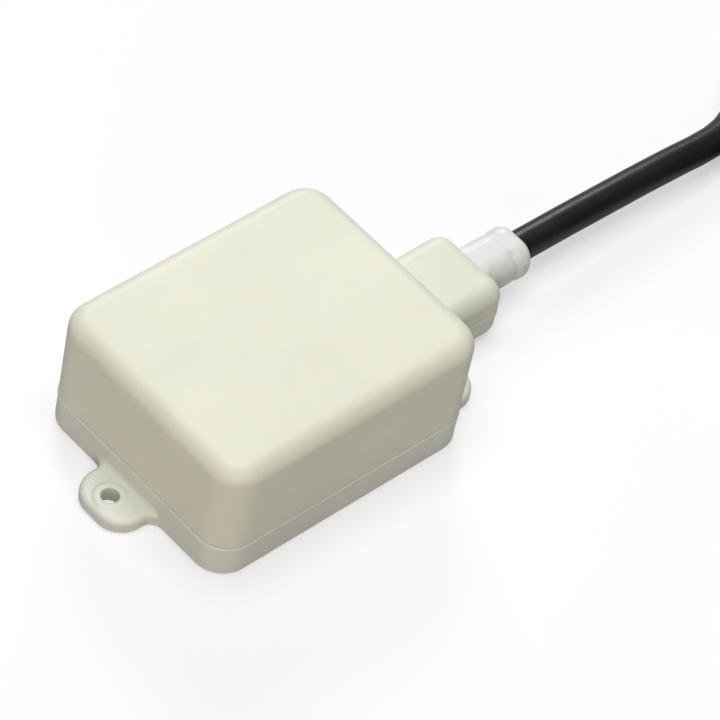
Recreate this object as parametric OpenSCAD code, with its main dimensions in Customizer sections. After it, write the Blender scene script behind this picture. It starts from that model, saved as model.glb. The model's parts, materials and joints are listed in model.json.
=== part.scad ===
// Closed-face ultrasonic distance sensor in a sealed two-part housing, with a moulded cable outlet.
// Origin: centre of the housing on its mounting face. +X points to the cable, +Z to the sensing face.

/* [Housing] */
// Length of the closed housing along X
body_length = 60; // [58:1:64]
// Width of the closed housing along Y
body_width = 48.6; // [48:0.2:52]
// Height of the closed housing
body_height = 27; // [26:0.5:30]
// Radius of the upright corners
corner_radius = 6; // [5:0.5:7]
// Radius around the sensing face
top_radius = 3.6; // [3:0.1:4.5]
// Radius around the mounting face
base_radius = 1; // [0.6:0.1:1.4]
// Height of the parting line between tray and cover
parting_height = 7; // [6.8:0.1:7.4]
// Thickness of side walls, floor and top wall
wall = 2.2; // [2:0.1:2.4]

/* [Cable outlet] */
// Distance from the housing centre to the outlet's end face
outlet_end = 52; // [51:0.5:54]
// Width of the outlet block
outlet_width = 18.5; // [18:0.5:20]
// Height of the outlet block
outlet_height = 13; // [12.6:0.2:14]
// Radius of the outlet's outer edges
outlet_radius = 3.5; // [3:0.1:4]
// Height of the cable's axis
cable_height = 8; // [7.9:0.1:8.2]
// Distance from the housing centre to the end of the strain relief
nose_end = 63; // [61:0.5:66]
// Width and height of the strain relief
nose_size = [10, 8.4]; // [9:0.1:11]

/* [Ears] */
// Thickness of a mounting ear
ear_thickness = 3; // [2.6:0.1:3.4]
// Distance from the housing centre to the screw holes along X
ear_hole_x = 34.5; // [34:0.5:36]
// Sideways position of the screw hole at the cable end
ear_offset = 12.2; // [12:0.1:13]
// Diameter of the screw holes
ear_hole_d = 3.4; // [3.2:0.1:4]
// Radius of the ear's tip
ear_radius = 5.3; // [5:0.1:6]

/* [Transducers] */
// Diameter of a transducer can
can_d = 16; // [14:0.5:16]
// Height of a transducer can
can_height = 8; // [7:0.5:9]
// Distance of each transducer from the housing centre
can_spacing = 13; // [12.5:0.5:14]
// Thickness of the sensing window over each transducer
window = 1.2; // [1:0.1:1.5]

/* [Board] */
// Lowest and highest X of the board
board_x = [-27, 19]; // [-27:1:20]
// Width of the board
board_width = 41; // [38:1:42]
// Height of the board's underside
board_z = 6; // [5.5:0.1:6.5]
// Thickness of the board
board_t = 1.6; // [1:0.2:1.6]

/* [Cable] */
// Diameter of the cable
cable_d = 6.2; // [6:0.1:6.4]
// Radius of the coil's outer turns, at the middle of the cable
coil_radius = 34.1; // [33:0.1:34.4]
// Diameter of one insulated core
core_d = 1.3; // [1.1:0.1:1.4]

/* [Hidden] */
$fn = 48;

// Allowance by which a subtracted shape passes a face
cut = 1;
// Depth to which a joined shape bites into the wall it grows from
bite = 0.5;
// Steps of a rounded edge's arc
arc_steps = 8;

ivory = "#E6E6D2";
pale_ivory = "#E9EAE2";
board_green = "#1F5B3A";
chip_black = "#232326";
bright_metal = "#C9CBCE";
cable_black = "#26262B";

// Housing
root_x = 22;
inner_top = body_height - wall;
body_box = [body_length, body_width];
outlet_wall = 1.8;
outlet_roof = 1.6;
outlet_edge = outlet_radius - 0.1;
outlet_corner = outlet_radius;
pocket_x = [37.8, 41.8];
pocket_half = 5;
pocket_roof = 0.9;
tongue = 0.2;
groove_inset = 0.7;
groove_inner = 1.5;
groove_depth = 1.2;
boss_at = [23.5, 17.75];
boss_r = 3.2;
pillar_r = 3.75;
pilot_top = 18;
counterbore_r = 2.9;
counterbore_depth = 3;
screw_r = 1.3;
screw_hole_r = 1.6;
head_r = 2.6;
head_h = 1.9;
screw_tip = 17;

// Strain relief
neck = [8.4, 7.8];
neck_corner = 1.5;
flange = [12, 6.6];
flange_t = 2;
nose_corner = 3.6;
collar_x = 59.2;
collar_grow = 0.4;
collar_edge = 1.5;

// Ears
ear_spread = 1.6;
ear_reach = 1.3;
ear_flare = 2.4;
collar_r = 3;
collar_h = 0.4;

// Transducers
can_top = body_height - window;
can_r = can_d / 2;
can_wall = 0.8;
sleeve_t = 1.5;
seat_t = 1.2;
seat_bottom = 17.4;
sleeve_z = [18.4, 24.6];
recess_gap = 0.1;
disc_r = 5;
disc_t = 0.6;
pad_bottom = 20;
terminal_z = [18.4, 19.4];
terminal_r = can_r - can_wall;
terminal_pin_y = 2;
terminal_pin_r = 0.35;
terminal_pin_bottom = 16.6;
lead_r = 0.45;
transmitter_landing = [-13.5, 5.5];
receiver_landing = [8.6, 3.2];

// Board
board_top = board_z + board_t;
standoff_at = [[-23, -9], [-23, 9], [15, -17], [15, 17]];
standoff_r = 2.2;
board_screw_r = 0.8;
board_head_r = 1.9;
board_head_h = 1.4;
board_screw_tip = 3;
screw_gap = 0.3;

// Capacitors, one each side of the middle
capacitor_at = [-18.5, 4.1];

// Step-up transformer
transformer_at = [3, -8];
ferrite = [9, 8, 8];
leg_r = 1.3;
winding_r = 3.2;
winding_h = 5;

// Wire header
header_x = [12, 18.4];
header_half = 5.6;
header_h = 5.4;
header_wall = 0.8;
pin_pitch = 2.2;
pin_size = 0.64;
plug_x = [14.4, 20.6];
plug_half = 4.7;
plug_h = 4;
core_z = board_top + header_h / 2;
core_bend_x = [22, 33];
core_lay = 0.63 * core_d;
core_grip = 3;
sheath_start = 34;

// Cord: a run that sinks to the floor and swings into a coil of two by two turns, and a short tail
cable_r = cable_d / 2;
tie_t = 0.8;
coil_low = tie_t;
coil_centre = [151.6, -22];
tail_y = coil_centre.y - coil_radius;
plug_at = [122.6, tail_y, 7.3];
route = [[34, 0, 8], [42, 0, 8], [50, 0, 8], [58, 0, 8], [64, 0, 8], [70, 0, 7.9], [76, 0, 7.8],
    [82, 0, 7.6], [88, 0, 7.4], [94, 0, 7.2], [100, 0, 6.9], [106, 0, 6.5], [111.6, 0, 6],
    [116.6, 0.35, 5.4], [121.6, 1.4, 4.75], [126.6, 3.3, 4.2]];
tail_route = [[136.6, tail_y, 9.6], [132.6, tail_y, 8.8], [128.6, tail_y, 7.9],
    [124.6, tail_y, 7.4], [122.6, tail_y, 7.3], [111.6, tail_y, 7.3]];

// Plug, as distances along it from the cable's entry
grip_end = 30;
spigot_end = 36;
spigot_r = 4.4;
nut_gap = 0.05;
nut_start = 30.2;
knurl_end = 38.4;
nut_end = 46;
nut_r = 7.2;
thread_r = 5.95;
insert_r = 4.15;
insert_end = 40.5;
pin_circle = 2.6;
pin_start = 37;
pin_end = 45.4;
pin_r = 0.5;

// Points of an arc from angle a to angle b around (x, y)
function arc(x, y, r, a, b, steps = arc_steps) =
    [for (i = [0:steps]) [x + r * cos(a + (b - a) * i / steps), y + r * sin(a + (b - a) * i / steps)]];

// Half section of a rounded box, from its corner's axis to its outer face
function edge_section(corner, height, low_r, high_r) = concat(
    [[0, 0]],
    low_r > 0 ? arc(corner - low_r, low_r, low_r, -90, 0) : [[corner, 0]],
    high_r > 0 ? arc(corner - high_r, height - high_r, high_r, 0, 90) : [[corner, height]],
    corner > high_r || high_r == 0 ? [[0, height]] : []);

// Direction of a path at point i
function heading(path, i) =
    let (a = path[max(i - 1, 0)], b = path[min(i + 1, len(path) - 1)]) (b - a) / norm(b - a);

// One ring of a swept tube, square to the path
function tube_ring(path, i, r, sides) =
    let (t = heading(path, i), side = abs(t.z) > 0.9 ? [0, 1, 0] : [0, 0, 1],
        u = cross(side, t) / norm(cross(side, t)), v = cross(t, u))
    [for (k = [0:sides - 1]) path[i] + r * (cos(360 * k / sides) * u + sin(360 * k / sides) * v)];

// Sideways place of the wire header's pin i
function pin_y(i) = (i - 1.5) * pin_pitch;

// Eased value from 0 to 1
function ease(t) = (1 - cos(180 * t)) / 2;

// Point on a wire that leaves a and reaches b, moving sideways in the middle of its run along axis k
function eased_run(a, b, k, steps) = [for (i = [0:steps]) let (t = i / steps)
    [for (c = [0:2]) a[c] + (b[c] - a[c]) * (c == k ? t : ease(t))]];

// Box with round upright corners and round lower and upper edges, centred on Z, standing on z = 0
module rounded_box(size, height, corner, low_r = 0, high_r = 0) {
    core = [size.x / 2 - corner, size.y / 2 - corner];
    section = edge_section(corner, height, low_r, high_r);
    translate([-core.x, -core.y, 0]) cube([2 * core.x, 2 * core.y, height]);
    for (k = [0:3]) {
        across = k % 2 == 0 ? core.x : core.y;
        along = k % 2 == 0 ? core.y : core.x;
        rotate([0, 0, 90 * k]) {
            translate([across, along, 0]) rotate([90, 0, 0]) linear_extrude(2 * along) polygon(section);
            translate([across, along, 0]) rotate_extrude(angle = 90) polygon(section);
        }
    }
}

// The same box lying along X, from x = 0 to x = length
module lying_box(size, length, corner, low_r = 0, high_r = 0) {
    rotate([0, 90, 0]) rounded_box([size.y, size.x], length, corner, low_r, high_r);
}

// Solid tube along a path
module tube(path, r, sides) {
    count = len(path);
    points = [for (i = [0:count - 1]) each tube_ring(path, i, r, sides)];
    caps = [[for (k = [0:sides - 1]) k], [for (k = [sides - 1:-1:0]) (count - 1) * sides + k]];
    walls = [for (i = [0:count - 2], k = [0:sides - 1]) let (n = (k + 1) % sides)
        [i * sides + k, (i + 1) * sides + k, (i + 1) * sides + n, i * sides + n]];
    polyhedron(points, concat(caps, walls));
}

// Copies a shape to the four cover screws
module at_bosses() {
    for (x = [-1, 1], y = [-1, 1]) translate([x * boss_at.x, y * boss_at.y, 0]) children();
}

// Copies a shape to both transducers
module at_transducers() {
    for (x = [-can_spacing, can_spacing]) translate([x, 0, 0]) children();
}

// Slab with the outline of housing and outlet together, drawn in by inset
module outline_slab(inset, low, high) {
    translate([0, 0, low]) {
        rounded_box(body_box - 2 * [inset, inset], high - low, corner_radius - inset);
        outlet_shape(inset, high - low);
    }
}

// Outlet block standing on z = 0, drawn in by inset
module outlet_shape(inset, height, low_r = 0, high_r = 0) {
    length = outlet_end - root_x;
    size = [length, outlet_width] - 2 * [inset, inset];
    translate([root_x + length / 2, 0, 0]) rounded_box(size, height, outlet_corner - inset, low_r, high_r);
}

// Space inside the outlet block
module outlet_cavity() {
    start = root_x + wall;
    end = outlet_end - outlet_wall;
    roof = outlet_height - outlet_roof;
    half = outlet_width / 2 - outlet_wall;
    translate([start, -half, wall]) cube([end - start, 2 * half, roof - wall]);
    translate([pocket_x[0], -pocket_half, wall])
        cube([pocket_x[1] - pocket_x[0], 2 * pocket_half, outlet_height - pocket_roof - wall]);
}

// Opening that holds the strain relief's neck
module neck_cut(grow = 0) {
    translate([outlet_end - outlet_wall - grow, 0, cable_height])
        lying_box(neck, outlet_wall + 2 * grow, neck_corner);
}

// Outline of one ear, pointing along +X from the housing wall at x = 0
function ear_outline() =
    let (half = ear_radius + ear_spread, tip = ear_hole_x - body_length / 2 - ear_reach,
        low = arc(ear_flare, -half - ear_flare, ear_flare, 180, 90),
        high = arc(ear_flare, half + ear_flare, ear_flare, 270, 180))
    concat([[-wall, -half - ear_flare]], low, arc(tip, -ear_spread, ear_radius, -90, 0),
        arc(tip, ear_spread, ear_radius, 0, 90), high, [[-wall, half + ear_flare]]);

// Copies a shape to both ears, with x = 0 on the housing wall
module at_ears() {
    translate([body_length / 2, -ear_offset, 0]) children();
    translate([-body_length / 2, 0, 0]) mirror([1, 0, 0]) children();
}

module ear() {
    hole_x = ear_hole_x - body_length / 2;
    linear_extrude(ear_thickness) polygon(ear_outline());
    translate([hole_x, 0, 0]) cylinder(h = ear_thickness + collar_h, r = collar_r);
}

// Bridge under the cable that the sheath tie passes through
module tie_bridge() {
    bridge = [36, 43.6];
    tunnel = [38.2, 41.4];
    half = 2.8;
    top = cable_height - cable_r;
    deck = 0.7;
    difference() {
        translate([bridge[0], -half, bite]) cube([bridge[1] - bridge[0], 2 * half, top - bite]);
        translate([tunnel[0], -half - cut, wall])
            cube([tunnel[1] - tunnel[0], 2 * (half + cut), top - deck - wall]);
    }
}

module base_tray() {
    color(ivory)
    difference() {
        union() {
            difference() {
                union() {
                    rounded_box(body_box, parting_height, corner_radius, base_radius, 0);
                    outlet_shape(0, parting_height, outlet_edge, 0);
                    at_ears() ear();
                }
                translate([0, 0, wall])
                    rounded_box(body_box - 2 * [wall, wall], parting_height, corner_radius - wall);
                outlet_cavity();
            }
            at_bosses() translate([0, 0, bite]) cylinder(h = parting_height - bite, r = pillar_r);
            for (p = standoff_at) translate([p.x, p.y, bite]) cylinder(h = board_z - bite, r = standoff_r);
            tie_bridge();
        }
        difference() {
            outline_slab(groove_inset, parting_height - groove_depth, parting_height + cut);
            outline_slab(groove_inner, parting_height - groove_depth - cut, parting_height + 2 * cut);
        }
        at_bosses() {
            translate([0, 0, -cut]) cylinder(h = counterbore_depth + cut, r = counterbore_r);
            cylinder(h = parting_height + cut, r = screw_hole_r);
        }
        for (p = standoff_at) translate([p.x, p.y, board_screw_tip - screw_gap])
            cylinder(h = board_z, r = board_screw_r);
        at_ears() translate([ear_hole_x - body_length / 2, 0, -cut])
            cylinder(h = ear_thickness + 3 * cut, r = ear_hole_d / 2);
        neck_cut(cut);
    }
}

module top_cover() {
    upper = body_height - parting_height;
    color(ivory)
    difference() {
        union() {
            difference() {
                translate([0, 0, parting_height]) {
                    rounded_box(body_box, upper, corner_radius, 0, top_radius);
                    outlet_shape(0, outlet_height - parting_height, 0, outlet_edge);
                }
                translate([0, 0, parting_height - cut])
                    rounded_box(body_box - 2 * [wall, wall], inner_top - parting_height + cut,
                        corner_radius - wall, 0, top_radius - wall);
                outlet_cavity();
            }
            at_bosses() translate([0, 0, parting_height])
                cylinder(h = inner_top - parting_height + bite, r = boss_r);
            at_transducers() translate([0, 0, seat_bottom])
                cylinder(h = inner_top - seat_bottom + bite, r = can_r + sleeve_t + seat_t);
            difference() {
                outline_slab(groove_inset, parting_height - tongue, parting_height + bite);
                outline_slab(groove_inner, parting_height - cut, parting_height + cut);
            }
        }
        at_bosses() translate([0, 0, parting_height - cut])
            cylinder(h = pilot_top - parting_height + cut, r = screw_r);
        at_transducers() {
            translate([0, 0, seat_bottom - cut])
                cylinder(h = inner_top - seat_bottom + cut, r = can_r + sleeve_t);
            translate([0, 0, seat_bottom]) cylinder(h = can_top - seat_bottom, r = can_r + recess_gap);
        }
        neck_cut(cut);
    }
}

module cover_gasket() {
    low = parting_height - groove_depth;
    color("#3B3B3D")
    difference() {
        outline_slab(groove_inset, low, parting_height - tongue);
        outline_slab(groove_inner, low - cut, parting_height + cut);
        neck_cut(cut);
    }
}

// Pan-head screw pointing up, with its head's seat at z = 0
module screw(shank_r, length, top_r, top_h) {
    slot = top_r * 1.1;
    thin = top_r * 0.28;
    cylinder(h = length, r = shank_r);
    difference() {
        translate([0, 0, -top_h]) cylinder(h = top_h, r = top_r);
        for (a = [0, 90]) rotate([0, 0, a])
            translate([-slot / 2, -thin / 2, -top_h - cut]) cube([slot, thin, top_h * 0.6 + cut]);
    }
}

module cover_screws() {
    color(bright_metal)
    at_bosses() translate([0, 0, counterbore_depth])
        screw(screw_r, screw_tip - counterbore_depth, head_r, head_h);
}

module board_screws() {
    color(bright_metal)
    for (p = standoff_at) translate([p.x, p.y, board_top]) rotate([180, 0, 0])
        screw(board_screw_r, board_top - board_screw_tip, board_head_r, board_head_h);
}

module main_board() {
    gap = 0.65;
    notch_x = -boss_at.x + pillar_r + gap;
    notch_y = boss_at.y - pillar_r - gap;
    color(board_green)
    difference() {
        translate([board_x[0], -board_width / 2, board_z])
            cube([board_x[1] - board_x[0], board_width, board_t]);
        for (side = [0, 1]) mirror([0, side, 0]) translate([board_x[0] - cut, notch_y, board_z - cut])
            cube([notch_x - board_x[0] + cut, board_width, board_t + 2 * cut]);
        for (p = standoff_at) translate([p.x, p.y, board_z - cut])
            cylinder(h = board_t + 2 * cut, r = board_screw_r);
    }
}

// Thin-walled cup glued behind its window, with its open side down
module transducer_can(side) {
    hollow = can_r - can_wall;
    color(bright_metal) translate([side * can_spacing, 0, can_top - can_height]) difference() {
        cylinder(h = can_height, r = can_r);
        translate([0, 0, -cut]) cylinder(h = can_height - can_wall + cut, r = hollow);
    }
}

module piezo_disc(side) {
    color("#C8B27A") translate([side * can_spacing, 0, can_top - can_wall - disc_t])
        cylinder(h = disc_t, r = disc_r);
}

module damping_pad(side) {
    color("#6E6A66") translate([side * can_spacing, 0, pad_bottom])
        cylinder(h = can_top - can_wall - disc_t - pad_bottom, r = can_r - can_wall);
}

module isolation_sleeve(side) {
    height = sleeve_z[1] - sleeve_z[0];
    color("#2C2C2E") translate([side * can_spacing, 0, sleeve_z[0]]) difference() {
        cylinder(h = height, r = can_r + sleeve_t);
        translate([0, 0, -cut]) cylinder(h = height + 2 * cut, r = can_r);
    }
}

// Disc that closes the can, with two solder pins
module terminal_disc(side) {
    color("#A8763E") translate([side * can_spacing, 0, 0]) {
        translate([0, 0, terminal_z[0]]) cylinder(h = terminal_z[1] - terminal_z[0], r = terminal_r);
        for (y = [-1, 1]) translate([0, y * terminal_pin_y, terminal_pin_bottom])
            cylinder(h = terminal_z[1] - terminal_pin_bottom, r = terminal_pin_r);
    }
}

// Two leads from a transducer's pins to the board
module transducer_leads(side) {
    landing = side < 0 ? transmitter_landing : receiver_landing;
    color("#B23A32") for (y = [-1, 1]) {
        start = [side * can_spacing, y * terminal_pin_y, terminal_pin_bottom];
        end = [landing.x, y * landing.y, board_top];
        tube(eased_run(start, end, 2, 9), lead_r, 8);
    }
}

// Chip body with gull-wing legs along two or four sides
module chip(size, legs, pitch, sides) {
    leg = [1, 0.35, 0.18];
    stand = 0.12;
    translate([-size.x / 2, -size.y / 2, stand]) cube(size);
    for (k = [0:sides - 1]) rotate([0, 0, sides == 2 ? 90 + 180 * k : 90 * k])
        for (i = [0:legs - 1]) {
            reach = sides == 2 ? size.y / 2 : size.x / 2;
            translate([reach - 0.2, (i - (legs - 1) / 2) * pitch - leg.y / 2, 0]) {
                translate([leg.x * 0.4, 0, 0]) cube([leg.x * 0.8, leg.y, leg.z]);
                translate([leg.x * 0.4, 0, 0]) cube([leg.z, leg.y, size.z / 2]);
                translate([0, 0, size.z / 2]) cube([leg.x * 0.4 + leg.z, leg.y, leg.z]);
            }
        }
}

module microcontroller() {
    color(chip_black) translate([-9, -10, board_top]) chip([7, 7, 1.4], 8, 0.8, 4);
}

module receiver_amplifier() {
    color(chip_black) translate([-10, 14, board_top]) chip([8.7, 3.9, 1.5], 7, 1.27, 2);
}

module driver_chip() {
    color(chip_black) translate([4, 14, board_top]) chip([4.9, 3.9, 1.5], 4, 1.27, 2);
}

module voltage_regulator() {
    color(chip_black) translate([6, -16, board_top]) {
        translate([-3.25, -1.75, 0.1]) cube([6.5, 3.5, 1.6]);
        translate([-1.5, 1.6, 0]) cube([3, 1.8, 0.25]);
        for (i = [-1:1]) translate([i * 2.3 - 0.35, -3.4, 0]) cube([0.7, 1.8, 0.25]);
    }
}

// Square ferrite frame with a round middle leg
module transformer_core() {
    yoke = (ferrite.z - winding_h) / 2;
    leg = 1.2;
    color("#3A3836") translate([transformer_at.x, transformer_at.y, board_top]) {
        for (z = [0, ferrite.z - yoke]) translate([-ferrite.x / 2, -ferrite.y / 2, z])
            cube([ferrite.x, ferrite.y, yoke]);
        for (x = [-ferrite.x / 2, ferrite.x / 2 - leg]) translate([x, -ferrite.y / 2, yoke - bite])
            cube([leg, ferrite.y, winding_h + 2 * bite]);
        translate([0, 0, yoke - bite]) cylinder(h = winding_h + 2 * bite, r = leg_r);
    }
}

module transformer_winding() {
    yoke = (ferrite.z - winding_h) / 2;
    color("#B8622B") translate([transformer_at.x, transformer_at.y, board_top + yoke]) difference() {
        cylinder(h = winding_h, r = winding_r);
        translate([0, 0, -cut]) cylinder(h = winding_h + 2 * cut, r = leg_r);
    }
}

// Upright electrolytic capacitor on its plastic base
module capacitor(side) {
    base = [6.6, 6.6, 1];
    can = [3, 5.4];
    color("#B9BDC6") translate([capacitor_at.x, side * capacitor_at.y, board_top]) {
        translate([-base.x / 2, -base.y / 2, 0]) cube(base);
        translate([0, 0, base.z]) cylinder(h = can[1], r = can[0]);
    }
}

module crystal() {
    can = [10.2, 4.4];
    rim = [0.8, 0.6];
    rim_t = 0.4;
    color(bright_metal) translate([-6.5, 1.5, board_top]) {
        translate([0, 0, rim_t]) rounded_box(can, 3.4, 2, 0, 0.5);
        rounded_box(can + rim, rim_t, 2.2);
    }
}

module chip_components() {
    size = [2, 1.25, 0.6];
    places = [[-15.5, -16], [-12, -17.5], [-8.5, -17.5], [-2.5, -17], [-18.5, 13.5], [-17, 17], [-3, 18],
        [-1.5, 8.5], [11, 8.5], [11, 11], [11, -10], [11, -12.5]];
    color("#8E7A66") for (p = places) translate([p.x - size.x / 2, p.y - size.y / 2, board_top]) cube(size);
}

// Temperature probe on two bent legs beside the end wall
module thermistor() {
    bead_z = 13;
    leg_path = [[0, 1, board_top], [0, 1, board_top + 2], [0, 0.5, bead_z - bite]];
    color("#2F6B57") translate([-25, 0, 0]) {
        translate([0, 0, bead_z]) sphere(r = 1.2);
        for (side = [0, 1]) mirror([0, side, 0]) tube(leg_path, 0.25, 8);
    }
}

module header_shroud() {
    color("#E8E4D8") difference() {
        translate([header_x[0], -header_half, board_top])
            cube([header_x[1] - header_x[0], 2 * header_half, header_h]);
        translate([plug_x[0], -plug_half, core_z - plug_h / 2]) cube([header_x[1], 2 * plug_half, plug_h]);
        for (i = [0:3]) translate([header_x[0] - cut, pin_y(i) - pin_size / 2, core_z - pin_size / 2])
            cube([header_x[1], pin_size, pin_size]);
    }
}

module header_pins() {
    foot = 0.9;
    length = 5;
    color("#C9A94B") for (i = [0:3]) translate([header_x[0] - foot, pin_y(i) - pin_size / 2, 0]) {
        translate([0, 0, core_z - pin_size / 2]) cube([length, pin_size, pin_size]);
        translate([0, 0, board_top]) cube([pin_size, pin_size, core_z - board_top]);
    }
}

module wire_plug() {
    pin_reach = 1.8;
    socket_r = core_d / 2 + 0.05;
    color("#F0EEE6") difference() {
        translate([plug_x[0], -plug_half, core_z - plug_h / 2])
            cube([plug_x[1] - plug_x[0], 2 * plug_half, plug_h]);
        for (i = [0:3]) translate([plug_x[0], pin_y(i), core_z]) {
            translate([-cut, -pin_size / 2, -pin_size / 2]) cube([pin_reach + cut, pin_size, pin_size]);
            translate([core_grip - 0.2, 0, 0]) rotate([0, 90, 0]) cylinder(h = plug_x[1], r = socket_r);
        }
    }
}

// One insulated core, from place k of the plug to its place in the sheath
module core(k, shade) {
    y = pin_y(k);
    far = [sheath_start, core_lay * (k < 2 ? -1 : 1), cable_height + core_lay * (k % 2 == 0 ? -1 : 1)];
    near = [core_bend_x[0], y, core_z];
    bend = [core_bend_x[1], far.y, far.z];
    path = concat([[plug_x[0] + core_grip, y, core_z]], eased_run(near, bend, 0, 7), [far]);
    color(shade) tube(path, core_d / 2, 8);
}

module strain_relief() {
    collar = nose_size + [collar_grow, collar_grow];
    color(pale_ivory) difference() {
        translate([0, 0, cable_height]) {
            translate([outlet_end - outlet_wall - flange_t, 0, 0]) lying_box(flange, flange_t, 2);
            translate([outlet_end - outlet_wall - bite, 0, 0])
                lying_box(neck, outlet_wall + 2 * bite, neck_corner);
            translate([outlet_end, 0, 0]) lying_box(nose_size, collar_x + bite - outlet_end, nose_corner);
            translate([collar_x, 0, 0]) lying_box(collar, nose_end - collar_x, nose_corner, 0.3, collar_edge);
        }
        translate([0, 0, cable_height]) rotate([0, 90, 0]) cylinder(h = nose_end + cut, r = cable_r);
    }
}

// Nylon tie around the sheath and through the tray's bridge
module sheath_tie() {
    band = 0.9;
    width = 2.4;
    start = 38.6;
    low = 3.2;
    drop = cable_height - low;
    head = [3.4, 3, 3.6];
    color("#DAD8CC") {
        translate([start, 0, cable_height]) rotate([90, 0, 90]) linear_extrude(width) difference() {
            union() {
                circle(r = cable_r + band);
                translate([-cable_r - band, -drop]) square([2 * (cable_r + band), drop]);
            }
            circle(r = cable_r);
            translate([-cable_r, -drop + band]) square([2 * cable_r, drop - band]);
        }
        translate([start - 0.5, cable_r + 0.4, cable_height - head.z / 2]) cube(head);
    }
}

module cable() {
    color(cable_black) tube(route, cable_r, 12);
}

module cable_tail() {
    color(cable_black) tube(tail_route, cable_r, 12);
}

// Section of the coil: two turns beside each other and two on top
function coil_section() =
    let (inner = coil_radius - 1.5 * cable_d, outer = coil_radius + cable_r,
        low = coil_low, high = coil_low + 2 * cable_d, r = cable_r - 0.1)
    concat(arc(inner + r, low + r, r, 180, 270), arc(outer - r, low + r, r, 270, 360),
        arc(outer - r, high - r, r, 0, 90), arc(inner + r, high - r, r, 90, 180));

module cable_coil() {
    color(cable_black) translate([coil_centre.x, coil_centre.y, 0])
        rotate_extrude($fn = 72) polygon(coil_section());
}

// Strap around the coil's section, on its far side, with room for the turns' bend under its width
module coil_tie() {
    width = 5;
    inner = coil_radius - 1.5 * cable_d;
    bend = inner - sqrt(inner * inner - width * width / 4) + 0.03;
    middle = [coil_radius - cable_r - bend / 2, coil_low + cable_d];
    size = [2 * cable_d + 2 * tie_t + bend, 2 * cable_d + 2 * tie_t];
    color("#E9E9E4") translate([coil_centre.x + middle.x, coil_centre.y + width / 2, middle.y])
    rotate([90, 0, 0]) difference() {
        rounded_box(size, width, cable_r + tie_t - 0.1);
        translate([0, 0, -cut]) rounded_box(size - 2 * [tie_t, tie_t], width + 2 * cut, cable_r - 0.1);
    }
}

// Places a shape with its X along the plug, from the cable's entry to the mating face
module at_plug() {
    translate(plug_at) rotate([0, 0, 180]) children();
}

// Turned part of the plug: section points are distance along the plug and radius
module turned(points) {
    rotate([0, 90, 0]) rotate([0, 0, 90]) rotate_extrude() polygon([for (p = points) [p.y, p.x]]);
}

module plug_body() {
    ribs = 5;
    tail = 14;
    tail_r = [4.5, 5.2];
    grip_r = 6.4;
    edge = 1;
    cable_depth = plug_at.x - tail_route[5].x;
    color(cable_black) at_plug() difference() {
        union() {
            turned([[0, 0], [0, tail_r[0]], [tail, tail_r[1]], [tail, 0]]);
            for (i = [0:ribs - 1]) {
                x = 1 + i * 2.6;
                turned([[x, 0], [x, 5.2], [x + 1.4, 5.3], [x + 1.4, 0]]);
            }
            turned([[tail, 0], [tail, grip_r - edge], [tail + edge, grip_r], [grip_end - edge, grip_r],
                [grip_end, grip_r - edge / 2], [grip_end, 0]]);
            turned([[grip_end, 0], [grip_end, spigot_r], [spigot_end, spigot_r], [spigot_end, 0]]);
        }
        rotate([0, 90, 0]) translate([0, 0, -cut]) cylinder(h = cable_depth + cut, r = cable_r);
    }
}

module coupling_nut() {
    notches = 18;
    notch_r = 0.7;
    edge = 0.5;
    bore = spigot_r + nut_gap;
    mouth = 5.3;
    step = spigot_end - 0.4;
    color(bright_metal) at_plug() difference() {
        turned([[nut_start, bore], [nut_start, nut_r - edge], [nut_start + edge, nut_r],
            [knurl_end - edge, nut_r], [knurl_end, nut_r - edge], [knurl_end, thread_r],
            [nut_end - edge, thread_r], [nut_end, thread_r - edge], [nut_end, mouth],
            [step, mouth], [step, bore]]);
        for (i = [0:notches - 1]) rotate([360 * i / notches, 0, 0])
            translate([nut_start + 1, 0, nut_r + notch_r / 2])
            rotate([0, 90, 0]) cylinder(h = knurl_end - nut_start - 2, r = notch_r);
    }
}

// Copies a shape to the plug's four pins
module at_pins() {
    for (k = [0:3]) rotate([45 + 90 * k, 0, 0]) translate([pin_start, 0, pin_circle])
        rotate([0, 90, 0]) children();
}

module plug_insert() {
    rim_r = 4.9;
    rim_t = 1.3;
    key = [2, 1, 0.7];
    color("#2B2B2E") at_plug() difference() {
        turned([[spigot_end, 0], [spigot_end, rim_r], [spigot_end + rim_t, rim_r],
            [spigot_end + rim_t, insert_r], [insert_end, insert_r], [insert_end, 0]]);
        at_pins() cylinder(h = insert_end, r = pin_r);
        translate([insert_end - key.x + cut, -key.y / 2, insert_r - key.z]) cube([key.x, key.y, key.z + cut]);
    }
}

module plug_pins() {
    color("#D3B04C") at_plug() at_pins() cylinder(h = pin_end - pin_start, r = pin_r);
}

module plug_seal() {
    color("#3A7A4A") at_plug()
        turned([[knurl_end, thread_r], [knurl_end, 6.7], [knurl_end + 0.3, 7], [knurl_end + 0.9, 7],
            [knurl_end + 1.2, 6.7], [knurl_end + 1.2, thread_r]]);
}

base_tray();
top_cover();
cover_gasket();
cover_screws();
main_board();
board_screws();
transducer_can(-1);  // transmitter_can
piezo_disc(-1);  // transmitter_disc
damping_pad(-1);  // transmitter_pad
isolation_sleeve(-1);  // transmitter_sleeve
terminal_disc(-1);  // transmitter_terminals
transducer_leads(-1);  // transmitter_leads
transducer_can(1);  // receiver_can
piezo_disc(1);  // receiver_disc
damping_pad(1);  // receiver_pad
isolation_sleeve(1);  // receiver_sleeve
terminal_disc(1);  // receiver_terminals
transducer_leads(1);  // receiver_leads
microcontroller();
receiver_amplifier();
driver_chip();
voltage_regulator();
transformer_core();
transformer_winding();
capacitor(-1);  // supply_capacitor
capacitor(1);  // pulse_capacitor
crystal();
chip_components();
thermistor();
header_shroud();
header_pins();
wire_plug();
core(0, "#6B4226");  // core_brown
core(1, "#E4E4E0");  // core_white
core(2, "#2B5FA8");  // core_blue
core(3, "#1E1E20");  // core_black
strain_relief();
sheath_tie();
cable();
cable_coil();
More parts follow.
